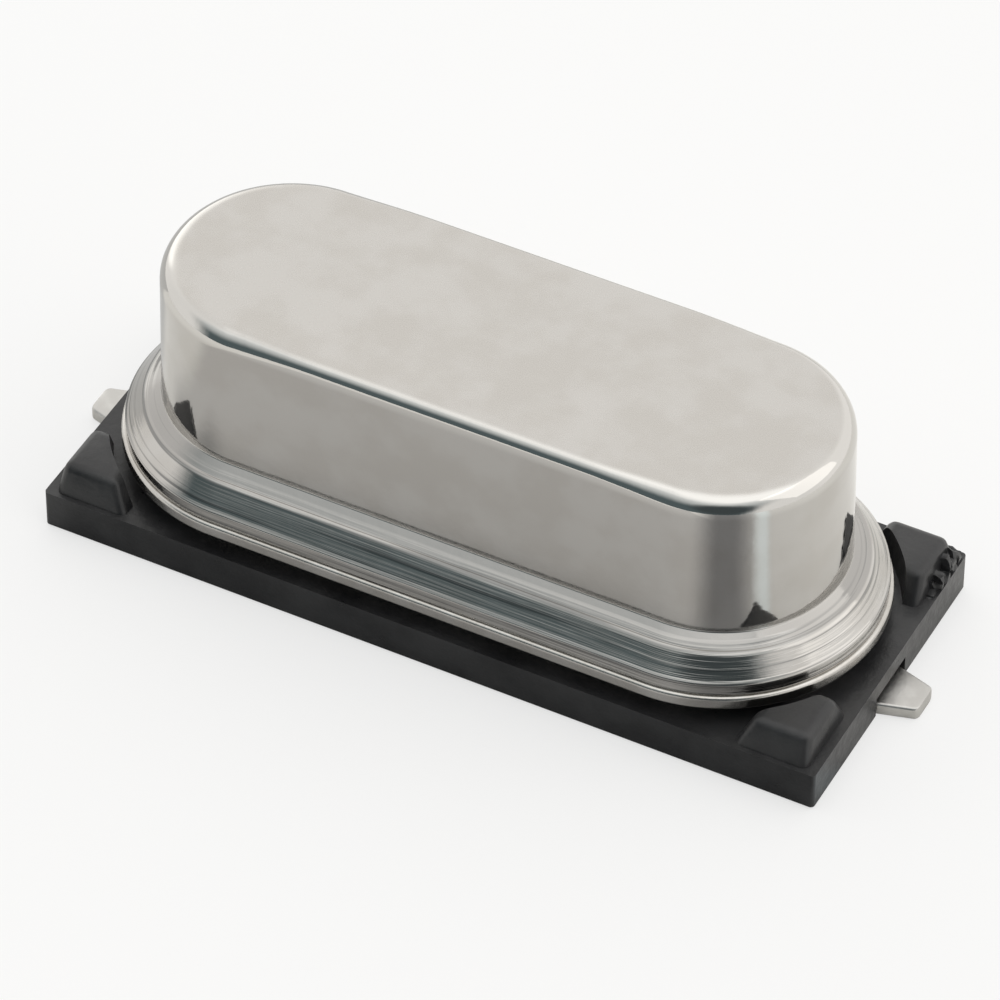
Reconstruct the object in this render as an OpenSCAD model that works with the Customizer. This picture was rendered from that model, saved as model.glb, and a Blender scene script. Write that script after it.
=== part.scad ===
// Quartz crystal unit in a low-profile metal can, on a moulded surface-mount base.
// Origin at the middle of the solder plane, +X along the length, +Z up, millimetres.
// Every outline of the can and its header is a racetrack: two half circles joined by straights.

/* [Can] */
// Length of the can body just above its shoulder
can_l = 9.85; // [9.5:0.01:10.1]
// Width of the can body just above its shoulder
can_w = 3.5; // [3.4:0.01:3.6]
// Height of the can's top face above the solder plane
can_top_z = 3.95; // [3.7:0.05:4.4]
// How much narrower each wall gets towards the top
wall_draft = 0.04; // [0:0.01:0.1]
// Outer radius between the top face and the wall
top_round = 0.2; // [0.15:0.01:0.4]
// Thickness of the drawn sheet
sheet_t = 0.18; // [0.12:0.01:0.2]

/* [Can flange] */
// Height of the shoulder, where the wall ends
shoulder_z = 1.74; // [1.7:0.01:1.85]
// How far the shoulder steps out from the wall
shoulder_step = 0.24; // [0.2:0.01:0.26]
// How far the foot of the sloping skirt stands out from the wall
skirt_step = 0.46; // [0.42:0.01:0.48]
// How far the welding flange stands out from the wall
flange_step = 0.5; // [0.5:0.01:0.54]
// Thickness of the welding flange
flange_t = 0.23; // [0.2:0.01:0.26]

/* [Header] */
// Width of the header over its rim
rim_w = 4.6; // [4.58:0.01:4.64]
// Thickness of the header's rim
rim_t = 0.2; // [0.15:0.01:0.22]
// Height of the plateau that locates the can, above the rim
plateau_h = 0.2; // [0.1:0.01:0.25]
// Diameter of each glass bead
bead_d = 1.25; // [1:0.05:1.4]

/* [Base] */
// Length of the moulded base
base_l = 11.4; // [11.2:0.05:11.8]
// Width of the moulded base
base_w = 4.66; // [4.64:0.01:4.9]
// Height of the base plate's top face above the solder plane
plate_z = 0.6; // [0.55:0.01:0.65]
// Height of the four corner guards' tops above the solder plane
guard_z = 1.02; // [0.9:0.01:1.05]
// Radius of the base's upright corners
base_corner = 0.06; // [0.03:0.01:0.2]

/* [Leads] */
// Distance between the two leads
lead_pitch = 4.88; // [4.8:0.02:5]
// Diameter of the lead wire
wire_d = 0.43; // [0.4:0.01:0.45]
// Length over the two solder feet
span = 12.4; // [12.2:0.05:12.7]
// Width of each coined foot
foot_w = 0.8; // [0.7:0.01:0.86]
// Width of the foot's narrowed tip
tip_w = 0.48; // [0.4:0.01:0.6]
// Thickness of each coined foot
foot_t = 0.2; // [0.15:0.01:0.22]

/* [Resonator] */
// Length of the quartz strip
blank_l = 8.1; // [7.8:0.05:8.4]
// Height of the quartz strip, which stands on edge
blank_h = 1.6; // [1.4:0.05:1.7]
// Thickness of the quartz strip
blank_t = 0.2; // [0.16:0.01:0.22]
// Length of each electrode film
film_l = 4.6; // [4:0.1:5.4]

/* [Hidden] */
$fn = 96;

plastic_black = [0.13, 0.13, 0.14];
nickel_silver = [0.80, 0.79, 0.77];
tinned = [0.86, 0.86, 0.84];
seal_glass = [0.16, 0.26, 0.24];
quartz = [0.86, 0.90, 0.92];
silver_film = [0.92, 0.92, 0.90];
silver_paste = [0.66, 0.65, 0.62];

end_pitch = can_l - can_w;      // distance between the racetrack's two end centres
wall_r = can_w / 2;             // wall radius at its foot
wall_top_r = wall_r - wall_draft;
flange_r = wall_r + flange_step;
rim_r = rim_w / 2;
rim_top_z = 1.08;               // plane where the can's flange is welded to the header's rim
rim_low_z = rim_top_z - rim_t;
flange_top_z = rim_top_z + flange_t;
shoulder_fall = 0.15;           // the shoulder slopes down by this much, and levels off at its edge
ledge_fall = 0.04;              // so does the flange outside the skirt
skirt_in = wall_r + shoulder_step;
skirt_out = wall_r + skirt_step;
plateau_r = wall_r - 0.08;
plateau_z = rim_top_z + plateau_h;
boss_r = wall_r + 0.1;          // the header's thick middle, which stands on the base

foot_proud = 0.03;              // the feet stand this far below the plastic
guard_out_x = base_l / 2 - 0.12;
guard_in_x = guard_out_x - 1.12;
guard_out_y = base_w / 2 - 0.03;
guard_in_y = 1.02;
guard_gap = 0.12;               // clearance between the guards and the header's rim
groove_w = foot_w + 0.08;
wire_groove_z = wire_d + 0.02;
foot_groove_z = foot_t + 0.14;  // the slot in the end face is taller than the foot
coin_start_x = 3.2;             // the round wire starts to flatten here
coin_end_x = 3.6;               // and is fully flat here
taper_x = base_l / 2 - 0.05;    // the foot narrows from here to its tip
lead_x = lead_pitch / 2;
bend_r = 0.35;                  // centre line of the lead's bend
lead_hole_d = wire_d + 0.21;
lead_top_z = 1.62;

clip_t = 0.1;
clip_w = 0.8;
clip_leg_x = 3.95;              // outer face of the clip's upright leg
clip_top_z = 3.3;
blank_z = lead_top_z + 0.23;    // lower edge of the quartz strip
film_t = 0.02;
film_h = blank_h - 0.3;
tab_h = 0.4;
dab_r = 0.3;

// Points of one rounded corner: p is the corner, a and b its neighbours, r its radius.
function unit(v) = v / norm(v);
function corner(a, p, b, r, steps = 6) =
    r == 0 ? [p] :
    let (u = unit(a - p), v = unit(b - p),
         half = acos(u * v) / 2,
         centre = p + unit(u + v) * r / sin(half),
         from = p + u * r / tan(half) - centre,
         to = p + v * r / tan(half) - centre,
         a0 = atan2(from[1], from[0]),
         turn = atan2(to[1], to[0]) - a0,
         sweep = turn > 180 ? turn - 360 : turn < -180 ? turn + 360 : turn)
    [for (i = [0:steps]) centre + r * [cos(a0 + sweep * i / steps), sin(a0 + sweep * i / steps)]];

// Outline through corners given as [x, y, radius].
function rounded(c) = [
    for (i = [0:len(c) - 1])
        let (n = len(c), a = c[(i + n - 1) % n], p = c[i], b = c[(i + 1) % n])
        each corner([a[0], a[1]], [p[0], p[1]], [b[0], b[1]], p[2])];

// Copies its child to the other end of the part.
module both_ends() {
    children();
    mirror([1, 0, 0]) children();
}

// Sweeps a half section, drawn as radius and height, round the racetrack.
module racetrack() {
    both_ends()
        translate([end_pitch / 2, 0, 0]) rotate([0, 0, -90]) rotate_extrude(angle = 180) children();
    rotate([90, 0, 90]) linear_extrude(end_pitch, center = true) {
        children();
        mirror([1, 0]) children();
    }
}

// One corner guard: drafted on four sides and hollowed to follow the can's rim.
module guard() {
    draft_in = 0.25;
    draft_end = 0.28;
    draft_side = 0.2;
    draft_out = 0.07;
    round = 0.1;
    foot_z = plate_z - 0.1;
    difference() {
        intersection() {
            rotate([90, 0, 0]) translate([0, 0, -guard_out_y]) linear_extrude(guard_out_y) polygon(rounded([
                [guard_in_x, foot_z, 0], [guard_out_x, foot_z, 0],
                [guard_out_x - draft_out, guard_z, round], [guard_in_x + draft_in, guard_z, round]]));
            rotate([90, 0, 90]) linear_extrude(guard_out_x) polygon(rounded([
                [guard_in_y, foot_z, 0], [guard_out_y, foot_z, 0],
                [guard_out_y - draft_side, guard_z, round], [guard_in_y + draft_end, guard_z, round]]));
        }
        translate([end_pitch / 2, 0, plate_z])
            cylinder(r1 = rim_r + guard_gap, r2 = rim_r + guard_gap + 0.05, h = guard_z - plate_z + 0.01);
    }
}

// Room under the base for one formed lead, with the hole that the lead comes down through.
module lead_groove() {
    rotate([90, 0, 0]) linear_extrude(groove_w, center = true) polygon([
        [lead_x - lead_hole_d / 2, -0.1], [base_l, -0.1], [base_l, foot_groove_z],
        [coin_end_x + 0.1, foot_groove_z], [coin_start_x + 0.1, wire_groove_z],
        [lead_x - lead_hole_d / 2, wire_groove_z]]);
    translate([lead_x, 0, 0]) cylinder(d = lead_hole_d, h = plate_z + 0.1);
}

// Torn stub where the moulding gate was broken off, on the ledge outside one guard.
module gate_stub() {
    low = plate_z - 0.05;
    ledge = base_l / 2 - guard_out_x;
    // how far the break stands out along the stub, as a share of the ledge's depth
    ragged = [[0.2, 1.4], [0.6, 1.5], [0.3, 1.58], [0.8, 1.68], [0.5, 1.78], [0.95, 1.87],
              [0.6, 1.98], [0.9, 2.08], [0.4, 2.2]];
    intersection() {
        rotate([90, 0, 90]) linear_extrude(base_l / 2) polygon([
            [1.42, low], [1.49, 0.69], [1.58, 0.74], [1.66, 0.7], [1.76, 0.82], [1.85, 0.79],
            [1.94, 0.88], [2.03, 0.78], [2.11, 0.81], [2.17, 0.7], [2.2, low]]);
        translate([guard_out_x, 0]) linear_extrude(guard_z) polygon([
            [-0.15, 1.4], each [for (p = ragged) [p[0] * ledge, p[1]]], [-0.15, 2.2]]);
        // it thins towards the top
        rotate([90, 0, 0]) translate([guard_out_x, 0, -base_w / 2]) linear_extrude(base_w / 2) polygon([
            [-0.15, low], [ledge, low], [ledge, 0.72], [0.03, 0.9], [-0.15, 0.9]]);
    }
}

module plastic_base() {
    hx = base_l / 2;
    hy = base_w / 2;
    color(plastic_black) difference() {
        union() {
            translate([0, 0, foot_proud]) linear_extrude(plate_z - foot_proud) polygon(rounded([
                [-hx, -hy, base_corner], [hx, -hy, base_corner],
                [hx, hy, base_corner], [-hx, hy, base_corner]]));
            both_ends() {
                guard();
                mirror([0, 1, 0]) guard();
            }
            gate_stub();
        }
        both_ends() lead_groove();
    }
}

// Section of the drawn sheet, from the middle of the top round to the flange and back inside.
module can_section() {
    t = sheet_t;
    inner_r = wall_r - t;
    shoulder_low_z = shoulder_z - shoulder_fall;
    polygon(rounded([
        [0, can_top_z, 0],
        [wall_top_r, can_top_z, top_round],
        [wall_r, shoulder_z, 0.03],
        [wall_r + 0.7 * shoulder_step, shoulder_low_z + 0.1 * shoulder_fall, 0.02],
        [skirt_in, shoulder_low_z, 0.12],
        [skirt_out, flange_top_z, 0.04],
        [flange_r, flange_top_z - ledge_fall, 0.03],
        [flange_r, rim_top_z, 0],
        [skirt_out - t, rim_top_z, 0.06],
        [skirt_in - 0.7 * t, shoulder_low_z - 0.85 * t, 0.04],
        [inner_r, shoulder_z - t / 2, 0.1],
        [wall_top_r - t, can_top_z - t, 0.06],
        [0, can_top_z - t, 0]]));
}

module can() {
    color(nickel_silver) racetrack() can_section();
}

// Half section of the header: plateau inside the can, rim under its flange, boss on the base.
module header_section() {
    polygon(rounded([
        [0, plate_z, 0],
        [boss_r, plate_z, 0.05],
        [boss_r, rim_low_z, 0.04],
        [rim_r, rim_low_z, 0.04],
        [rim_r, rim_top_z, 0.05],
        [plateau_r, rim_top_z, 0],
        [plateau_r, plateau_z, 0.06],
        [0, plateau_z, 0]]));
}

module header() {
    color(nickel_silver) difference() {
        racetrack() header_section();
        both_ends()
            translate([lead_x, 0, plate_z - 0.1]) cylinder(d = bead_d, h = plateau_z - plate_z + 0.2);
    }
}

// Glass seal, with the raised collar that the molten glass leaves round the wire.
module glass_bead() {
    collar_h = 0.08;
    color(seal_glass) translate([lead_x, 0, 0]) difference() {
        union() {
            translate([0, 0, plate_z + 0.02]) cylinder(d = bead_d, h = plateau_z - plate_z - 0.02);
            translate([0, 0, plateau_z]) cylinder(d1 = bead_d - 0.2, d2 = wire_d + 0.1, h = collar_h);
        }
        cylinder(d = wire_d, h = can_top_z);
    }
}
module glass_bead_right() { glass_bead(); }
module glass_bead_left() { mirror([1, 0, 0]) glass_bead(); }

// Outline of the coined foot, seen from above.
module foot_outline() {
    tip = span / 2;
    polygon(rounded([
        [coin_start_x, -wire_d / 2, 0], [coin_end_x, -foot_w / 2, 0.1], [taper_x, -foot_w / 2, 0.1],
        [tip, -tip_w / 2, 0.08], [tip, tip_w / 2, 0.08], [taper_x, foot_w / 2, 0.1],
        [coin_end_x, foot_w / 2, 0.1], [coin_start_x, wire_d / 2, 0]]));
}

module lead() {
    run_z = wire_d / 2;
    color(tinned) {
        translate([lead_x, 0, run_z + bend_r]) cylinder(d = wire_d, h = lead_top_z - run_z - bend_r);
        translate([lead_x + bend_r, 0, run_z + bend_r]) rotate([90, 0, 0]) rotate([0, 0, 180])
            rotate_extrude(angle = 90) translate([bend_r, 0]) circle(d = wire_d);
        // round run, sheared down to the thickness of the foot
        difference() {
            translate([lead_x + bend_r, 0, run_z]) rotate([0, 90, 0])
                cylinder(d = wire_d, h = coin_end_x - lead_x - bend_r);
            rotate([90, 0, 0]) linear_extrude(1, center = true) polygon([
                [coin_start_x, wire_d + 0.01], [coin_end_x - 0.02, foot_t], [coin_end_x + 0.1, foot_t],
                [coin_end_x + 0.1, wire_d + 0.1], [coin_start_x, wire_d + 0.1]]);
        }
        linear_extrude(foot_t) foot_outline();
    }
}
module lead_right() { lead(); }
module lead_left() { mirror([1, 0, 0]) lead(); }

// Bent strip: a foot welded on the lead's end, and an upright leg with a slot for the blank.
module spring_clip() {
    slot_w = blank_t + 0.08;
    foot_x = lead_x - 0.25;
    low = lead_top_z;
    color(nickel_silver) difference() {
        rotate([90, 0, 0]) linear_extrude(clip_w, center = true) polygon(rounded([
            [foot_x, low, 0], [clip_leg_x, low, 0.2], [clip_leg_x, clip_top_z, 0],
            [clip_leg_x - clip_t, clip_top_z, 0], [clip_leg_x - clip_t, low + clip_t, 0.1],
            [foot_x, low + clip_t, 0]]));
        translate([clip_leg_x - clip_t - 0.05, -slot_w / 2, blank_z])
            cube([clip_t + 0.1, slot_w, clip_top_z]);
    }
}
module spring_clip_right() { spring_clip(); }
module spring_clip_left() { mirror([1, 0, 0]) spring_clip(); }

// Quartz strip with bevelled ends, standing in the slots of the two clips.
module quartz_blank() {
    bevel = 0.2;
    end_t = blank_t - 0.08;
    hx = blank_l / 2;
    color(quartz) translate([0, 0, blank_z]) linear_extrude(blank_h) polygon([
        [-hx, -end_t / 2], [bevel - hx, -blank_t / 2], [hx - bevel, -blank_t / 2], [hx, -end_t / 2],
        [hx, end_t / 2], [hx - bevel, blank_t / 2], [bevel - hx, blank_t / 2], [-hx, end_t / 2]]);
}

// Film on the front face, with a tab that runs to the left clip.
module film() {
    mid_z = blank_z + blank_h / 2;
    tab_end_x = 3.5;
    color(silver_film) translate([0, -blank_t / 2, 0]) rotate([90, 0, 0]) linear_extrude(film_t) {
        translate([0, mid_z]) square([film_l, film_h], center = true);
        translate([-tab_end_x, mid_z - tab_h / 2]) square([tab_end_x, tab_h]);
    }
}
module electrode_front() { film(); }
module electrode_back() { rotate([0, 0, 180]) film(); }

// Two dabs that bond the blank and its film to the clip.
module adhesive() {
    mid_z = blank_z + blank_h / 2;
    leg_in_x = clip_leg_x - clip_t;
    color(silver_paste) difference() {
        intersection() {
            translate([leg_in_x, 0, mid_z]) sphere(r = dab_r);
            translate([leg_in_x - 2 * dab_r, -dab_r, mid_z - dab_r]) cube([2 * dab_r, 2 * dab_r, 2 * dab_r]);
        }
        quartz_blank();
        translate([0, 0, mid_z]) cube([2 * clip_leg_x, blank_t, 2 * dab_r + 0.1], center = true);
    }
}
module adhesive_right() { adhesive(); }
module adhesive_left() { mirror([1, 0, 0]) adhesive(); }

plastic_base();
can();
header();
lead_left();
lead_right();
glass_bead_left();
glass_bead_right();
spring_clip_left();
spring_clip_right();
quartz_blank();
electrode_front();
electrode_back();
adhesive_left();
adhesive_right();
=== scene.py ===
import math

import bmesh
import bpy
from mathutils import Matrix, Vector, noise


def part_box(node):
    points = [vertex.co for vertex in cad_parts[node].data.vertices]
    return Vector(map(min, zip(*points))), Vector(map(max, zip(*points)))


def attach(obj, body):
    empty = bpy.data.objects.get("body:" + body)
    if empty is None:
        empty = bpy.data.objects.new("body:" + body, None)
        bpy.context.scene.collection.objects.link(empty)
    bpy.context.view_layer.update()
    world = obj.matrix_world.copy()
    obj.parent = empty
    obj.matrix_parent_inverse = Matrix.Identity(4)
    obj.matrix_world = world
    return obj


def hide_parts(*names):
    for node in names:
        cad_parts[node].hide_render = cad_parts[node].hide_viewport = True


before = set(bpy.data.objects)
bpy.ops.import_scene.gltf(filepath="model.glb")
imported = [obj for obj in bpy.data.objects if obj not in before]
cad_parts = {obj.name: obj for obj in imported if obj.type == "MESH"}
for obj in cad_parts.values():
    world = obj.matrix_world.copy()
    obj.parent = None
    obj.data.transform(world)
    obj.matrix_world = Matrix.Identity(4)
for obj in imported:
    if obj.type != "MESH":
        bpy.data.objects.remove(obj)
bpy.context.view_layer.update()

mm = 0.001
seated = 1e-6   # metres; points of a new piece closer than this are one point
merged = 2e-7   # metres; the same after a cut
past = 0.1   # millimetres by which a hole's tool runs past what it cuts
noise.seed_set(4)   # the same crumbs and waves in every run


def eased(t):
    # from 0 to 1 with a soft start and a soft end
    t = max(0, min(1, t))
    return t * t * (3 - 2 * t)


def aimed(azimuth, elevation):
    # the direction towards a place in the studio, from degrees
    az, el = math.radians(azimuth), math.radians(elevation)
    return Vector((math.sin(az) * math.cos(el), -math.cos(az) * math.cos(el), math.sin(el)))


def roundedCorner(before, corner, after, radius, steps):
    # points of a small arc that rounds one corner of an outline
    if radius == 0:
        return [corner.copy()]
    a, b = (before - corner).normalized(), (after - corner).normalized()
    half = math.acos(max(-1, min(1, a.dot(b)))) / 2
    centre = corner + (a + b).normalized() * radius / math.sin(half)
    start = corner + a * radius / math.tan(half) - centre
    end = corner + b * radius / math.tan(half) - centre
    turn = end.angle_signed(start)
    first = math.atan2(start.y, start.x)
    angles = [first + turn * i / steps for i in range(steps + 1)]
    return [centre + radius * Vector((math.cos(angle), math.sin(angle))) for angle in angles]


def roundedOutline(corners, steps=8, closed=True):
    # corners are (x, y, radius); the ends of an open outline stay sharp
    flat = [Vector(c[:2]) for c in corners]
    points = []
    for i, c in enumerate(corners):
        if not closed and i in (0, len(corners) - 1):
            points.append(flat[i])
        else:
            points += roundedCorner(flat[i - 1], flat[i], flat[(i + 1) % len(flat)], c[2], steps)
    return points


def withSupport(points, reach, gap):
    # puts points close to both ends of each long stretch, and more along it, so that shading stays crisp
    out = []
    for a, b in zip(points, points[1:]):
        out.append(a)
        length = (b - a).length
        if length > 4 * gap:
            count = max(1, round(length / reach))
            marks = [gap / length] + [i / count for i in range(1, count)] + [1 - gap / length]
            out += [a.lerp(b, t) for t in marks]
    return out + [points[-1]]


def placed(name, data):
    obj = bpy.data.objects.new(name, data)
    bpy.context.scene.collection.objects.link(obj)
    return obj


def opened(data):
    mesh = bmesh.new()
    mesh.from_mesh(data)
    return mesh


def stored(mesh, data):
    mesh.to_mesh(data)
    mesh.free()


def smoothed(mesh, below):
    # smooth shading, but sharp where two faces meet at more than the angle below
    for f in mesh.faces:
        f.smooth = True
    for e in mesh.edges:
        e.smooth = len(e.link_faces) == 2 and e.calc_face_angle(0) < math.radians(below)


def pieceFrom(name, mesh, smoothBelow=35):
    # mesh is a bmesh in millimetres
    bmesh.ops.remove_doubles(mesh, verts=mesh.verts, dist=seated / mm)
    bmesh.ops.recalc_face_normals(mesh, faces=mesh.faces)
    bmesh.ops.scale(mesh, vec=(mm, mm, mm), verts=mesh.verts)
    smoothed(mesh, smoothBelow)
    data = bpy.data.meshes.new(name)
    stored(mesh, data)
    return placed(name, data)


def racetrackSweep(sectionAt, endX, arcSteps=96, straightSteps=48, wobble=None):
    # sweeps a half section round two half circles joined by straights
    # sectionAt gives the section, as radius and height, for each x
    stations = []
    for i in range(arcSteps + 1):
        a = math.pi * i / arcSteps - math.pi / 2
        stations.append((endX, math.cos(a), math.sin(a)))
    stations += [(endX - 2 * endX * i / straightSteps, 0, 1) for i in range(1, straightSteps)]
    stations += [(-x, -dx, -dy) for x, dx, dy in stations]
    mesh = bmesh.new()
    rings = []
    for x, dx, dy in stations:
        ring = []
        for r, z in sectionAt(x):
            out = r - (wobble(Vector((x + r * dx, r * dy, z))) if wobble and r > 0 else 0)
            ring.append(mesh.verts.new((x + out * dx, out * dy, z)))
        rings.append(ring)
    for a, b in zip(rings, rings[1:] + rings[:1]):
        for i in range(len(a) - 1):
            mesh.faces.new((a[i], b[i], b[i + 1], a[i + 1]))
    return mesh


def joinLoops(mesh, a, b):
    for i in range(len(a)):
        j = (i + 1) % len(a)
        mesh.faces.new((a[i], a[j], b[j], b[i]))


def loft(first, last):
    # a closed solid between two loops with the same number of points
    mesh = bmesh.new()
    a = [mesh.verts.new(p) for p in first]
    b = [mesh.verts.new(p) for p in last]
    mesh.faces.new(a)
    mesh.faces.new(b)
    joinLoops(mesh, a, b)
    return mesh


def prism(outline, low, high, plane):
    # extrudes an outline drawn in the xy, xz or yz plane between two levels of the third axis
    def spot(p, level):
        return {"xy": (p[0], p[1], level), "xz": (p[0], level, p[1]), "yz": (level, p[0], p[1])}[plane]
    return loft([spot(p, low) for p in outline], [spot(p, high) for p in outline])


def coneMesh(x, y, low, high, lowRadius, highRadius, steps=144):
    turn = [2 * math.pi * i / steps for i in range(steps)]
    return loft([(x + lowRadius * math.cos(a), y + lowRadius * math.sin(a), low) for a in turn],
                [(x + highRadius * math.cos(a), y + highRadius * math.sin(a), high) for a in turn])


def applied(obj):
    # turns an object with modifiers into its finished mesh
    graph = bpy.context.evaluated_depsgraph_get()
    data = bpy.data.meshes.new_from_object(obj.evaluated_get(graph))
    obj.modifiers.clear()
    obj.data = data


def carve(target, tool, operation="DIFFERENCE"):
    modifier = target.modifiers.new("carve", "BOOLEAN")
    modifier.operation = operation
    modifier.solver = "EXACT"
    modifier.object = tool
    applied(target)
    bpy.data.objects.remove(tool)
    # the cut leaves a few points on top of one another
    mesh = opened(target.data)
    bmesh.ops.remove_doubles(mesh, verts=mesh.verts, dist=merged)
    bmesh.ops.dissolve_degenerate(mesh, edges=mesh.edges, dist=merged)
    stored(mesh, target.data)


def softened(target, width, segments, above):
    # rounds the edges that turn by more than the angle above
    modifier = target.modifiers.new("soft edges", "BEVEL")
    modifier.width = width * mm
    modifier.segments = segments
    modifier.limit_method = "ANGLE"
    modifier.angle_limit = math.radians(above)
    applied(target)


def reshaded(target, below):
    # after the cuts: marks the sharp edges again, and keeps large faces flat beside small ones
    mesh = opened(target.data)
    smoothed(mesh, below)
    stored(mesh, target.data)
    target.modifiers.new("even normals", "WEIGHTED_NORMAL").keep_sharp = True
    applied(target)


class Signal:
    # a shader socket that can be used in sums: each operation adds its Math node
    def __init__(self, tree, socket=None):
        self.tree = tree
        self.socket = socket

    def node(self, kind, settings=None, sockets=None, out=0):
        made = self.tree.nodes.new("ShaderNode" + kind)
        for key, value in (settings or {}).items():
            setattr(made, key, value)
        for key, value in (sockets or {}).items():
            if isinstance(value, Signal):
                self.tree.links.new(value.socket, made.inputs[key])
            else:
                made.inputs[key].default_value = value
        return Signal(self.tree, made.outputs[out] if len(made.outputs) else None)

    def math(self, operation, *values):
        return self.node("Math", {"operation": operation}, dict(enumerate(values)))

    def axis(self, letter):
        return self.node("SeparateXYZ", {}, {0: self}, out=letter)

    def __add__(self, other):
        return self.math("ADD", self, other)

    def __sub__(self, other):
        return self.math("SUBTRACT", self, other)

    def __rsub__(self, other):
        return self.math("SUBTRACT", other, self)

    def __mul__(self, other):
        return self.math("MULTIPLY", self, other)

    __radd__ = __add__
    __rmul__ = __mul__


def stepUp(value, low, high, start=0):
    # 0 below low, 1 above high, smooth between; both are counted from start
    return value.node("MapRange", {"interpolation_type": "SMOOTHSTEP"},
                      {"Value": value, "From Min": start + low, "From Max": start + high})


def stepDown(value, low, high, start=0):
    return 1 - stepUp(value, low, high, start)


def blendColour(mask, low, high):
    def filled(c):
        return c if isinstance(c, Signal) else (*c, 1)
    return mask.node("Mix", {"data_type": "RGBA"}, {0: mask, 6: filled(low), 7: filled(high)}, out=2)


def grain(place, scale, detail, stretch=(1, 1, 1), roughness=0.5):
    # noise in cycles a millimetre
    spot = place.node("VectorMath", {"operation": "MULTIPLY"}, {0: place, 1: stretch})
    return spot.node("TexNoise", {}, {"Vector": spot, "Scale": scale, "Detail": detail,
                                      "Roughness": roughness})


def bumped(height, depth, under=None):
    # depth in millimetres
    sockets = {"Height": height, "Distance": depth * mm, "Strength": 1.0}
    if under:
        sockets["Normal"] = under
    return height.node("Bump", {}, sockets)


def startMaterial(name):
    # an empty material, and the place on the piece in millimetres
    material = bpy.data.materials.new(name)
    material.use_nodes = True
    material.node_tree.nodes.clear()
    place = Signal(material.node_tree).node("TexCoord", out="Object")
    return material, place.node("VectorMath", {"operation": "SCALE"}, {0: place, "Scale": 1 / mm})


def finishMaterial(material, place, sockets):
    shader = place.node("BsdfPrincipled", {}, sockets)
    place.node("OutputMaterial", {}, {"Surface": shader})
    return material


def dress(obj, material):
    obj.data.materials.clear()
    obj.data.materials.append(material)


# degrees and millimetres
cameraPlace = {
    "azimuth": 27.3, "elevation": 43.6, "roll": 0.33, "distance": 92.7,
    "aim": (0.43, -0.94, 2.0), "lens": 255.9, "sensor": 36,
}


def makeCamera():
    c = cameraPlace
    back = aimed(c["azimuth"], c["elevation"])
    data = bpy.data.cameras.new("camera")
    data.lens = c["lens"]
    data.sensor_width = c["sensor"]
    data.clip_start = 0.005
    data.clip_end = 5
    camera = placed("camera", data)
    camera.location = (Vector(c["aim"]) + back * c["distance"]) * mm
    turn = back.to_track_quat("Z", "Y").to_matrix().to_4x4()
    roll = Matrix.Rotation(math.radians(c["roll"]), 4, "Z")
    camera.matrix_world = Matrix.Translation(camera.location) @ turn @ roll
    bpy.context.scene.camera = camera


makeCamera()
print("camera placed")


canLow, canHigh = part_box("can")
headerLow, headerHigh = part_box("header")
baseLow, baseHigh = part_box("plastic_base")
leadLow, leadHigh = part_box("lead_right")

# millimetres
can = {
    "flangeR": canHigh.y / mm, "topZ": canHigh.z / mm, "seamZ": canLow.z / mm,
    "endX": (canHigh.x - canHigh.y) / mm,
    "sheet": 0.18, "topRound": 0.2, "endRound": 0.3, "roundFrom": 1.9, "roundTo": 3.6,
    "wallInset": 0.50, "topInset": 0.54, "shoulderZ": 1.74, "shoulderStep": 0.24,
    "skirtInset": 0.04, "flangeThick": 0.23, "fall": 0.15, "ledgeFall": 0.04,
    # where the shoulder levels off outside, and where it turns inside, as shares of its step and fall
    "level": (0.78, 0.07), "insideTurn": (0.7, 0.85),
    # what the press leaves: depth of the dents, and how many to a millimetre
    "dents": ((0.004, 0.9), (0.0012, 4.0)),
}


def canSection(topRound):
    # the third number of each corner is its radius
    c = can
    wall, top = c["flangeR"] - c["wallInset"], c["flangeR"] - c["topInset"]
    shoulder, skirt = wall + c["shoulderStep"], c["flangeR"] - c["skirtInset"]
    t, topZ, sz, seam = c["sheet"], c["topZ"], c["shoulderZ"], c["seamZ"]
    lowZ = sz - c["fall"]
    lipZ = seam + c["flangeThick"]
    levelX, levelZ = c["level"]
    turnX, turnZ = c["insideTurn"]
    return withSupport(roundedOutline([
        (0, topZ, 0),
        (top, topZ, topRound),
        (wall, sz, 0.03),
        (wall + levelX * c["shoulderStep"], lowZ + levelZ * c["fall"], 0.03),
        (shoulder, lowZ, 0.12),
        (skirt, lipZ, 0.04),
        (c["flangeR"], lipZ - c["ledgeFall"], 0.03),
        (c["flangeR"], seam, 0.025),
        (skirt - t, seam, 0.06),
        (shoulder - turnX * t, lowZ - turnZ * t, 0.04),
        (wall - t, sz - t / 2, 0.1),
        (top - t, topZ - t, 0.06),
        (0, topZ - t, 0)], steps=12, closed=False), reach=0.45, gap=0.012)


canMiddle, canEnds = canSection(can["topRound"]), canSection(can["endRound"])


def canSectionAt(x):
    # the press leaves a larger radius round the top at the two ends
    share = eased((abs(x) - can["roundFrom"]) / (can["roundTo"] - can["roundFrom"]))
    return [a.lerp(b, share) for a, b in zip(canMiddle, canEnds, strict=True)]


def canDents(p):
    return sum(depth * (0.5 + 0.5 * noise.noise(p * count)) for depth, count in can["dents"])


def makeCan():
    mesh = racetrackSweep(canSectionAt, can["endX"], straightSteps=72, wobble=canDents)
    shell = pieceFrom("can_shell", mesh)
    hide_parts("can")
    return shell


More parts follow.
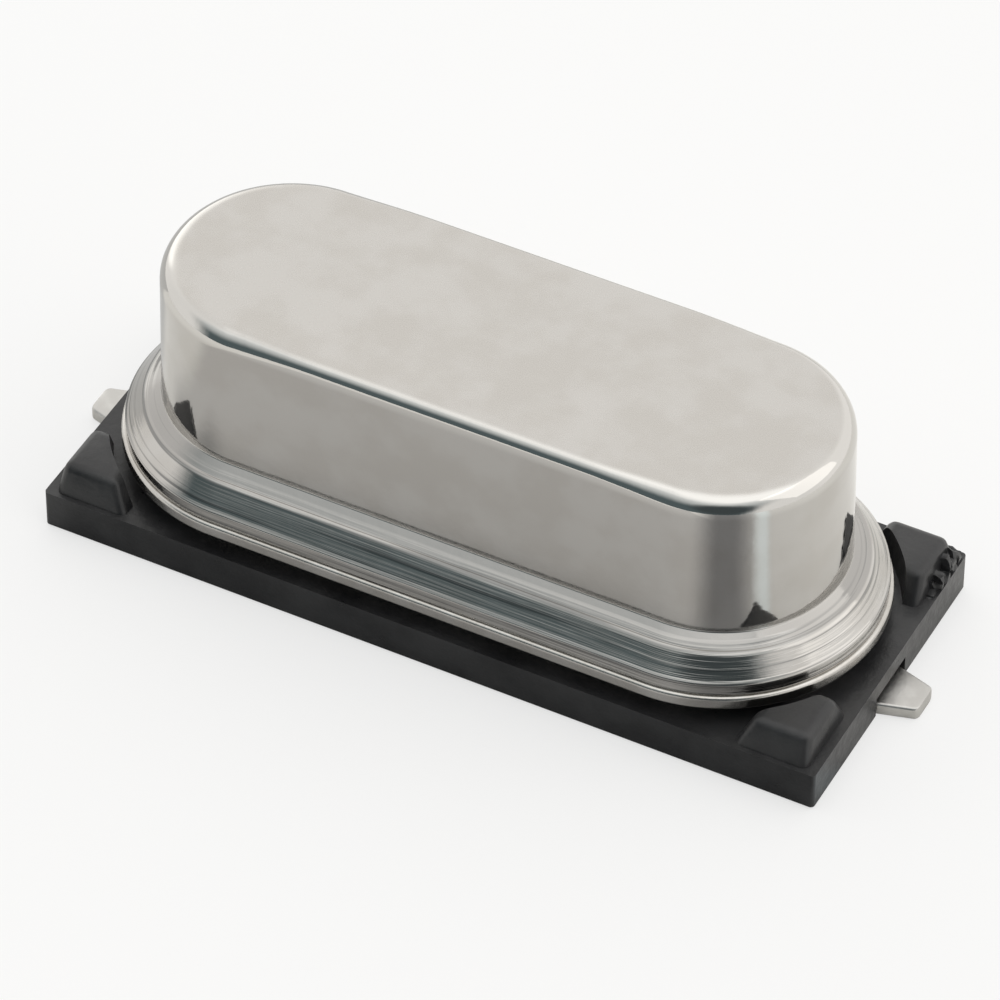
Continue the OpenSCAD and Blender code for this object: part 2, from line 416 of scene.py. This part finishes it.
canFinish = {
    "metal": (0.535, 0.52, 0.498), "warm": (0.50, 0.482, 0.456), "mottle": 1.4,
    # the last three colours are painted light: darker streaks stand in for what the skirt mirrors, a darker
    # shoulder is painted shade, and a lighter top round is a painted highlight
    "line": (0.20, 0.20, 0.195), "paintedShoulderShade": (0.38, 0.37, 0.355), "paintedRoundHighlight": (0.60, 0.585, 0.56),
    "topRough": 0.27, "wallRough": 0.06, "rollRough": 0.08, "footRough": 0.17,
    "grainScale": 16, "grainDepth": 0.0003, "drawDepth": 0.0005, "ringDepth": 0.009, "waveDepth": 0.0016,
    # millimetres from the top and from the shoulder between which the finish changes
    "topEdge": (-0.03, -0.004), "roundEdge": (-0.28, -0.18), "wallFoot": (0.02, 0.12),
    "footHigh": (0.05, 0.12), "footLow": (-0.03, 0), "skirtEdge": (-0.1, -0.06),
    "shoulderHigh": (-0.02, 0.02), "shoulderLow": (-0.02, 0), "rightEnd": (1.2, 3.6),
}


def canMetal():
    c = canFinish
    material, place = startMaterial("drawn_can_metal")
    height = place.axis("Z")
    topZ, sz = can["topZ"], can["shoulderZ"]
    onTop = stepUp(height, *c["topEdge"], topZ)
    onWall = stepUp(height, *c["wallFoot"], sz) * (1 - onTop)
    onFoot = stepDown(height, *c["footHigh"], sz) * stepUp(height, *c["footLow"], sz)
    onSkirt = stepDown(height, *c["skirtEdge"], sz)
    onRound = stepUp(height, *c["roundEdge"], topZ) * (1 - onTop)
    onShoulder = stepUp(height, *c["shoulderLow"], sz - can["fall"])
    onShoulder = onShoulder * stepDown(height, *c["shoulderHigh"], sz)
    toRight = stepUp(place.axis("X"), *c["rightEnd"])
    cloud = grain(place, c["mottle"], 3)
    fine = grain(place, c["grainScale"], 3)
    drawn = grain(place, 9, 2, stretch=(1, 1, 0.12))
    rings = grain(place, 1, 3, stretch=(0.22, 0.22, 20), roughness=0.6)
    waves = grain(place, 3.5, 2)
    lines = stepUp(rings, 0.48, 0.64) * onSkirt * 0.9   # marks left by the press, darkened in colour as painted reflection: the dark streaks that the skirt mirrors
    colour = blendColour(stepUp(cloud, 0.35, 0.65), c["metal"], c["warm"])
    # the top's round gets a lighter colour: a painted highlight
    colour = blendColour(onRound, colour, c["paintedRoundHighlight"])
    # the shoulder gets a darker colour: painted shade
    colour = blendColour(onShoulder, colour, c["paintedShoulderShade"])
    # the press marks get a darker colour: painted reflection of dark streaks
    colour = blendColour(lines, colour, c["line"])
    rough = c["rollRough"] + onTop * (c["topRough"] - c["rollRough"])
    rough = rough + onWall * (c["wallRough"] - c["rollRough"]) + onFoot * (c["footRough"] - c["rollRough"])
    rough = rough + (fine - 0.5) * 0.10 + (cloud - 0.5) * 0.06
    relief = bumped(fine, c["grainDepth"])
    relief = bumped(drawn * onWall, c["drawDepth"], relief)
    relief = bumped(rings * onSkirt * (0.6 + 0.6 * toRight), c["ringDepth"], relief)
    relief = bumped(waves * (1 - onTop), c["waveDepth"], relief)
    return finishMaterial(material, place, {
        "Base Color": colour, "Metallic": 1.0, "Roughness": rough, "Normal": relief})


canShell = makeCan()
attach(canShell, "root")
dress(canShell, canMetal())
print("can made")


header = {
    "rimR": headerHigh.y / mm, "lowZ": headerLow.z / mm, "highZ": headerHigh.z / mm,
    "rimTopZ": canLow.z / mm, "rimThick": 0.2, "bossR": 1.85, "plateauR": 1.67,
    "wireX": 2.44, "beadD": 1.25,
    "metal": (0.56, 0.545, 0.52), "warm": (0.50, 0.48, 0.45), "rough": (0.16, 0.30), "speckDepth": 0.0015,
}


def makeHeader():
    h = header
    section = withSupport(roundedOutline([
        (0, h["lowZ"], 0),
        (h["bossR"], h["lowZ"], 0.05),
        (h["bossR"], h["rimTopZ"] - h["rimThick"], 0.04),
        (h["rimR"], h["rimTopZ"] - h["rimThick"], 0.04),
        (h["rimR"], h["rimTopZ"], 0.05),
        (h["plateauR"], h["rimTopZ"], 0),
        (h["plateauR"], h["highZ"], 0.06),
        (0, h["highZ"], 0)], steps=8, closed=False), reach=0.6, gap=0.012)
    disc = pieceFrom("header_disc", racetrackSweep(lambda x: section, can["endX"]))
    bead = h["beadD"] / 2
    for side in (-1, 1):
        hole = coneMesh(side * h["wireX"], 0, h["lowZ"] - past, h["highZ"] + past, bead, bead, 64)
        carve(disc, pieceFrom("hole", hole))
    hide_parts("header")
    return disc


def headerMetal():
    h = header
    material, place = startMaterial("header_metal")
    cloud = grain(place, 2.0, 3)
    speck = grain(place, 16, 2)
    colour = blendColour(stepUp(cloud, 0.35, 0.65), h["metal"], h["warm"])
    rough = h["rough"][0] + speck * (h["rough"][1] - h["rough"][0])
    return finishMaterial(material, place, {
        "Base Color": colour, "Metallic": 1.0, "Roughness": rough, "Normal": bumped(speck, h["speckDepth"])})


headerDisc = makeHeader()
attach(headerDisc, "root")
dress(headerDisc, headerMetal())
print("header made")


base = {
    "hx": baseHigh.x / mm, "hy": baseHigh.y / mm, "lowZ": baseLow.z / mm, "guardZ": baseHigh.z / mm,
    "plateZ": headerLow.z / mm, "cornerR": 0.06, "edge": 0.03,
    "guardOutX": 0.12, "guardLong": 1.12, "guardOutY": 0.03, "guardInY": 1.02,
    "draftIn": 0.25, "draftOut": 0.07, "draftEnd": 0.28, "draftSide": 0.2,
    "guardRound": 0.11, "guardGap": 0.12, "guardFlare": (0.05, 0.1), "guardRoot": 0.1,
    "grooveW": 0.88, "wireGrooveZ": 0.45, "footGrooveZ": 0.34, "coinX": (3.2, 3.6), "coinGap": 0.1,
    "holeD": 0.64, "runOut": 1,
    # the torn gate mark: its outline seen from the end
    "stub": ((1.3, -0.05), (1.33, 0.04), (1.43, 0.06), (1.46, 0.14), (1.56, 0.1), (1.58, 0.19),
             (1.69, 0.17), (1.73, 0.08), (1.8, 0.12), (1.83, 0.27), (1.93, 0.3), (1.99, 0.18),
             (2.03, 0.27), (2.12, 0.22), (2.16, 0.1), (2.24, 0.13), (2.29, -0.05)),
    # its break, as a share of the ledge for each y
    "stubBreak": ((0.2, 1.28), (0.75, 1.31), (0.6, 1.42), (0.3, 1.45), (0.85, 1.52), (0.9, 1.62),
                  (0.55, 1.65), (0.97, 1.74), (0.8, 1.8), (0.5, 1.86), (0.95, 1.9), (0.97, 2.0),
                  (0.6, 2.05), (0.97, 2.1), (0.9, 2.2), (0.5, 2.24), (0.4, 2.3)),
    "stubRoot": 0.15, "stubSink": 0.05, "stubHigh": 0.3, "stubThin": 0.12, "stubLip": 0.03, "stubClear": 1,
    "crumble": 0.05, "crumbs": 8,
}


def makeGuard(sx, sy):
    # drafted on four sides and hollowed to follow the header's rim
    b = base
    outX = b["hx"] - b["guardOutX"]
    inX = outX - b["guardLong"]
    outY = b["hy"] - b["guardOutY"]
    footZ = b["plateZ"] - b["guardRoot"]
    foot = [(inX, b["guardInY"]), (outX, b["guardInY"]), (outX, outY), (inX, outY)]
    inset = ((b["draftIn"], b["draftEnd"]), (-b["draftOut"], b["draftEnd"]),
             (-b["draftOut"], -b["draftSide"]), (b["draftIn"], -b["draftSide"]))
    guard = pieceFrom("guard", loft(
        [(sx * x, sy * y, footZ) for x, y in foot],
        [(sx * (x + dx), sy * (y + dy), b["guardZ"]) for (x, y), (dx, dy) in zip(foot, inset)]))
    softened(guard, b["guardRound"], 5, 25)
    hollow = header["rimR"] + b["guardGap"]
    narrower, wider = b["guardFlare"]
    rise = b["guardZ"] - b["plateZ"]
    carve(guard, pieceFrom("hollow", coneMesh(
        sx * can["endX"], 0, b["plateZ"] - rise, b["guardZ"] + rise, hollow - narrower, hollow + wider)))
    return guard


def makeStub():
    # what the moulding gate left on the ledge outside one guard
    b = base
    outX = b["hx"] - b["guardOutX"]
    low, backX = b["plateZ"] - b["stubSink"], outX - b["stubRoot"]
    high = b["plateZ"] + b["stubHigh"]
    fromEnd = prism([(y, b["plateZ"] + z) for y, z in b["stub"]], backX, b["hx"], "yz")
    ragged = [(outX + share * b["guardOutX"], y) for share, y in b["stubBreak"]]
    around = [(backX, b["stubBreak"][0][1])] + ragged + [(backX, b["stubBreak"][-1][1])]
    fromAbove = prism(around, low, b["stubClear"], "xy")
    thinning = prism([(backX, low), (b["hx"], low), (b["hx"], b["plateZ"] + b["stubThin"]),
                      (outX + b["stubLip"], high), (backX, high)], 0, b["hy"], "xz")
    stub = pieceFrom("stub", fromEnd)
    carve(stub, pieceFrom("above", fromAbove), "INTERSECT")
    carve(stub, pieceFrom("thinning", thinning), "INTERSECT")
    # crumbles the break
    mesh = opened(stub.data)
    bmesh.ops.triangulate(mesh, faces=mesh.faces)
    bmesh.ops.subdivide_edges(mesh, edges=mesh.edges, cuts=2, use_grid_fill=True)
    for v in mesh.verts:
        v.co += noise.noise_vector(v.co / mm * b["crumbs"]) * b["crumble"] * mm
        v.co.x = min(v.co.x, b["hx"] * mm)
    stored(mesh, stub.data)
    return stub


def carveGroove(plate, sx):
    # room for one formed lead, and the hole it comes down through
    b = base
    bore, wireX = b["holeD"] / 2, header["wireX"]
    start, end, low = wireX - bore, b["hx"] + b["runOut"], -past
    pressed, flat = b["coinX"][0] + b["coinGap"], b["coinX"][1] + b["coinGap"]
    outline = ((start, low), (end, low), (end, b["footGrooveZ"]), (flat, b["footGrooveZ"]),
               (pressed, b["wireGrooveZ"]), (start, b["wireGrooveZ"]))
    half = b["grooveW"] / 2
    carve(plate, pieceFrom("groove", prism([(sx * x, z) for x, z in outline], -half, half, "xz")))
    carve(plate, pieceFrom("hole", coneMesh(sx * wireX, 0, 0, b["plateZ"] + past, bore, bore, 48)))


def makeBase():
    b = base
    corners = [(sx * b["hx"], sy * b["hy"], b["cornerR"])
               for sx, sy in ((-1, -1), (1, -1), (1, 1), (-1, 1))]
    outline = roundedOutline(corners, 6)
    plate = pieceFrom("base_moulding", prism(outline, b["lowZ"], b["plateZ"], "xy"))
    for sx in (-1, 1):
        carveGroove(plate, sx)
    softened(plate, b["edge"], 3, 28)
    for sx in (-1, 1):
        for sy in (-1, 1):
            carve(plate, makeGuard(sx, sy), "UNION")
    carve(plate, makeStub(), "UNION")
    reshaded(plate, 35)
    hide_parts("plastic_base")
    return plate


plasticFinish = {
    "black": (0.014, 0.014, 0.015), "worn": (0.028, 0.028, 0.029),
    "rough": 0.34, "cloud": 1.3, "pebble": 7, "fine": 24, "pebbleDepth": 0.006, "fineDepth": 0.002,
}


def mouldedPlastic():
    c = plasticFinish
    material, place = startMaterial("moulded_plastic")
    cloud = grain(place, c["cloud"], 4)
    pebble = grain(place, c["pebble"], 3)
    fine = grain(place, c["fine"], 3)
    colour = blendColour(stepUp(cloud, 0.3, 0.7), c["black"], c["worn"])
    rough = c["rough"] + (pebble - 0.5) * 0.25 + (cloud - 0.5) * 0.15
    relief = bumped(fine, c["fineDepth"], bumped(pebble, c["pebbleDepth"]))
    return finishMaterial(material, place, {
        "Base Color": colour, "Roughness": rough, "Normal": relief, "IOR": 1.5})


baseMoulding = makeBase()
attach(baseMoulding, "root")
dress(baseMoulding, mouldedPlastic())
print("base made")


lead = {
    "wireD": 0.43, "topZ": leadHigh.z / mm, "tipX": leadHigh.x / mm,
    "footW": (leadHigh.y - leadLow.y) / mm, "footT": 0.2, "bendR": 0.35,
    "taperX": 5.65, "taperR": 0.1, "tipW": 0.48, "tipR": 0.08, "coinEdge": 0.045, "steps": 12,
    "tin": (0.58, 0.57, 0.55), "warm": (0.50, 0.49, 0.47), "rough": 0.34, "grainDepth": 0.002,
}


def leadStations():
    # centre, direction of travel, width and thickness along the formed wire
    d = lead
    x, steps = header["wireX"], d["steps"]
    coinStart, coinEnd = base["coinX"]
    runZ = d["wireD"] / 2
    wire = (d["wireD"], d["wireD"])
    stations = [((x, d["topZ"]), (0, -1), *wire), ((x, runZ + d["bendR"]), (0, -1), *wire)]
    for i in range(1, steps + 1):
        a = math.radians(90 * i / steps)
        centre = (x + d["bendR"] * (1 - math.cos(a)), runZ + d["bendR"] * (1 - math.sin(a)))
        stations.append((centre, (math.sin(a), -math.cos(a)), *wire))
    for i in range(steps + 1):
        share = eased(i / steps)
        thick = d["wireD"] + (d["footT"] - d["wireD"]) * share
        wide = d["wireD"] + (d["footW"] - d["wireD"]) * share
        stations.append(((coinStart + (coinEnd - coinStart) * i / steps, thick / 2), (1, 0), wide, thick))
    # the flat foot: its half outline is straight, then tapers to a tip with small rounded corners
    half = roundedOutline([(coinEnd, d["footW"] / 2, 0), (d["taperX"], d["footW"] / 2, d["taperR"]),
                           (d["tipX"], d["tipW"] / 2, d["tipR"]), (d["tipX"], 0, 0)], 6, closed=False)
    for x, y in withSupport(half[:-1], 0.3, 0.01)[1:]:
        stations.append(((x, d["footT"] / 2), (1, 0), 2 * y, d["footT"]))
    return stations


def leadRing(mesh, side, station):
    # one rounded rectangle across the wire
    d = lead
    (x, z), (dx, dz), wide, thick = station
    share = (thick - d["footT"]) / (d["wireD"] - d["footT"])
    r = d["coinEdge"] + (d["wireD"] / 2 - d["coinEdge"]) * share
    ring = []
    for q, (sy, sn) in enumerate(((1, 1), (-1, 1), (-1, -1), (1, -1))):
        for i in range(9):
            a = math.radians(90 * q + 90 * i / 8)
            y = sy * (wide / 2 - r) + r * math.cos(a)
            n = sn * (thick / 2 - r) + r * math.sin(a)
            ring.append(mesh.verts.new((side * (x - dz * n), y, z + dx * n)))
    return ring


def makeLead(side, label):
    mesh = bmesh.new()
    rings = [leadRing(mesh, side, station) for station in leadStations()]
    for a, b in zip(rings, rings[1:]):
        joinLoops(mesh, a, b)
    mesh.faces.new(rings[0])
    mesh.faces.new(rings[-1])
    wire = pieceFrom("formed_lead_" + label, mesh, 50)
    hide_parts("lead_" + label)
    return wire


def tinnedLead():
    d = lead
    material, place = startMaterial("tinned_lead")
    cloud = grain(place, 3.0, 3)
    fine = grain(place, 20, 3)
    colour = blendColour(stepUp(cloud, 0.35, 0.65), d["tin"], d["warm"])
    rough = d["rough"] + (fine - 0.5) * 0.2
    return finishMaterial(material, place, {
        "Base Color": colour, "Metallic": 1.0, "Roughness": rough, "Normal": bumped(fine, d["grainDepth"])})


tin = tinnedLead()
for side, label in ((-1, "left"), (1, "right")):
    formedLead = makeLead(side, label)
    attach(formedLead, "root")
    dress(formedLead, tin)
print("leads made")


# two colours, metallic, roughness from and to, spots a millimetre and the depth of the grain
insideFinishes = {
    "seal_glass": ((0.02, 0.05, 0.045), (0.035, 0.08, 0.07), 0.0, 0.05, 0.15, 2.0, 0.001),
    "clip_metal": ((0.60, 0.58, 0.54), (0.54, 0.52, 0.48), 1.0, 0.18, 0.32, 3.0, 0.001),
    "quartz": ((0.78, 0.83, 0.85), (0.84, 0.88, 0.9), 0.0, 0.12, 0.3, 2.5, 0.0005),
    "silver_film": ((0.90, 0.89, 0.86), (0.84, 0.83, 0.8), 1.0, 0.2, 0.32, 3.0, 0.0004),
    "silver_paste": ((0.52, 0.51, 0.49), (0.44, 0.43, 0.41), 0.6, 0.45, 0.65, 5.0, 0.004),
}
insideSlots = {
    "glass_bead": "seal_glass", "spring_clip": "clip_metal", "quartz_blank": "quartz",
    "electrode": "silver_film", "adhesive": "silver_paste",
}


def insideFinish(name, low, high, metallic, roughLow, roughHigh, scale, depth):
    material, place = startMaterial(name)
    cloud = grain(place, scale, 3)
    fine = grain(place, scale * 8, 2)
    colour = blendColour(stepUp(cloud, 0.3, 0.7), low, high)
    rough = roughLow + (roughHigh - roughLow) * fine
    return finishMaterial(material, place, {
        "Base Color": colour, "Metallic": metallic, "Roughness": rough, "Normal": bumped(fine, depth)})


insideMaterials = {name: insideFinish(name, *values) for name, values in insideFinishes.items()}
for name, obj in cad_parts.items():
    for start, slot in insideSlots.items():
        if name.startswith(start):
            dress(obj, insideMaterials[slot])
print("inner pieces finished")


studio = {
    "floorSize": 1.6, "floorColour": (0.81, 0.805, 0.795),
    # what metal mirrors of the floor, with shade and light painted in: painted shadow in front of the base,
    # darker still close beside its front, behind it on the left and in a band off its right-hand end, a
    # painted cool light within that band, and light painted shade further round that end
    "mirrored": {"front": (0.65, 0.642, 0.635), "side": (0.88, 0.87, 0.85), "behind": (0.60, 0.60, 0.60),
                 "strip": (0.25, 0.25, 0.255), "paintedCoolLight": (0.92, 0.98, 1.0), "beside": (0.30, 0.30, 0.30)},
    # where these start and end: millimetres in front, to the right and behind
    "front": (0.7, 1.8), "frontRight": (5.0, 6.2), "frontLeft": (-7.5, -6.5),
    "besideLeft": (-6.0, -5.0), "besideGap": (0.3, 1.7), "behind": (0.0, 1.2), "behindLeft": (-6.5, -5.0),
    # and degrees round the can's right-hand end, from straight in front
    "strip": (2, 24, 33, 66), "paintedCoolLight": (46, 55, 57, 63), "after": (57, 63, 63, 105),
    "whiter": 0.62,   # share of plain white that the camera sees in the floor, so that shadows stay light
    "frontLow": (0.115, 0.15, 0.16), "frontHigh": (0.92, 0.95, 0.95),
    "side": (1.05, 1.04, 1.02), "back": (1.18, 1.165, 1.14), "over": (1.56, 1.56, 1.54),
    # where the surround changes, as shares of straight front, right or up
    "overFrom": (0.89, 0.96), "overLean": 0.12, "frontFrom": (0.05, 0.40), "frontTo": (0.60, 0.85),
    "frontBack": (-0.84, -0.6), "frontRise": (0.36, 0.90), "frontOver": (0.78, 0.92), "backFrom": (0.0, 0.5),
    # a window behind on the left, and the dark place where a camera would stand
    "patches": ({"azimuth": 230, "elevation": 16, "inner": 12, "outer": 21, "colour": (1.75, 1.74, 1.70)},
                {"azimuth": 27, "elevation": 24, "inner": 13, "outer": 30, "colour": (0.07, 0.085, 0.09)}),
    # azimuth and elevation of the lamp in degrees, its distance and size in metres, and its power
    "lamp": {"azimuth": 108, "elevation": 42, "distance": 0.55, "size": 0.48, "power": 0.32,
             "colour": (1.0, 0.98, 0.95)},
}


def paintedFloorShadeForMetal(place):
    s = studio
    m = s["mirrored"]
    x, y = place.axis("X"), place.axis("Y")
    toFront = 0 - y
    angle = x.math("ARCTAN2", x - can["endX"], toFront) * math.degrees(1)

    def sector(name):
        return stepUp(angle, *s[name][:2]) * stepDown(angle, *s[name][2:])

    # the masks below place painted shadows and a painted cool light on the floor that only metal mirrors
    front = stepUp(toFront, *s["front"]) * stepDown(x, *s["frontRight"])
    beside = front * stepUp(x, *s["besideLeft"]) * stepDown(toFront, *s["besideGap"], base["hy"])
    behind = stepUp(y, *s["behind"]) * stepDown(x, *s["behindLeft"])
    seen = blendColour(front * stepUp(x, *s["frontLeft"]), m["side"], m["front"])
    seen = blendColour(behind, seen, m["behind"])
    # a dark band of painted shadow off the right-hand end, then a band of painted cool light
    seen = blendColour(sector("strip"), seen, m["strip"])
    seen = blendColour(sector("paintedCoolLight"), seen, m["paintedCoolLight"])
    seen = blendColour(sector("after") * 0.3, seen, m["front"])
    return blendColour(beside, seen, m["beside"])


def makeFloor():
    half = studio["floorSize"] / 2
    mesh = bmesh.new()
    mesh.faces.new([mesh.verts.new((x * half, y * half, 0)) for x, y in ((-1, -1), (1, -1), (1, 1), (-1, 1))])
    data = bpy.data.meshes.new("floor")
    stored(mesh, data)
    floor = placed("floor", data)
    material, place = startMaterial("pale_floor")
    # rays that metal mirrors see the floor with painted shade and light; other rays see its plain colour
    inMetal = place.node("LightPath", out="Is Glossy Ray")
    matt = place.node("BsdfDiffuse", {}, {
        "Color": blendColour(inMetal, studio["floorColour"], paintedFloorShadeForMetal(place))})
    white = place.node("Emission", {}, {"Color": (1, 1, 1, 1), "Strength": 1.0})
    share = place.node("LightPath", out="Is Camera Ray") * studio["whiter"]
    surface = place.node("MixShader", {}, {0: share, 1: matt, 2: white})
    place.node("OutputMaterial", {}, {"Surface": surface})
    floor.data.materials.append(material)


def makeWorld():
    s = studio
    world = bpy.data.worlds.new("studio")
    bpy.context.scene.world = world
    world.use_nodes = True
    world.node_tree.nodes.clear()
    direction = Signal(world.node_tree).node("TexCoord", out="Generated")
    east, north, up = (direction.axis(letter) for letter in "XYZ")
    overhead = stepUp(up + up.math("MAXIMUM", east, 0) * s["overLean"], *s["overFrom"])
    front = stepUp(0 - north, *s["frontFrom"]) * stepDown(east, *s["frontTo"]) * stepUp(east, *s["frontBack"])
    glow = blendColour(stepUp(up, *s["frontRise"]), s["frontLow"], s["frontHigh"])
    colour = blendColour(stepUp(north, *s["backFrom"]), s["side"], s["back"])
    colour = blendColour(front, colour, glow)
    colour = blendColour(front * stepUp(up, *s["frontOver"]) * 0.7, colour, s["over"])
    colour = blendColour(overhead, colour, s["over"])
    for patch in s["patches"]:
        towards = aimed(patch["azimuth"], patch["elevation"])
        near = direction.node("VectorMath", {"operation": "DOT_PRODUCT"}, {0: direction, 1: towards},
                              out="Value")
        outer, inner = (math.cos(math.radians(patch[edge])) for edge in ("outer", "inner"))
        colour = blendColour(stepUp(near, outer, inner), colour, patch["colour"])
    sky = direction.node("Background", {}, {"Color": colour, "Strength": 1.0})
    direction.node("OutputWorld", {}, {"Surface": sky})


def makeLamp():
    lamp = studio["lamp"]
    towards = aimed(lamp["azimuth"], lamp["elevation"])
    data = bpy.data.lights.new("lamp", "AREA")
    data.shape = "SQUARE"
    data.size = lamp["size"]
    data.energy = lamp["power"]
    data.color = lamp["colour"]
    obj = placed("lamp", data)
    obj.location = towards * lamp["distance"]
    obj.rotation_euler = towards.to_track_quat("Z", "Y").to_euler()


makeFloor()
makeWorld()
makeLamp()
print("floor and lights placed")

bpy.context.scene.view_settings.view_transform = "Standard"
print("scene ready")
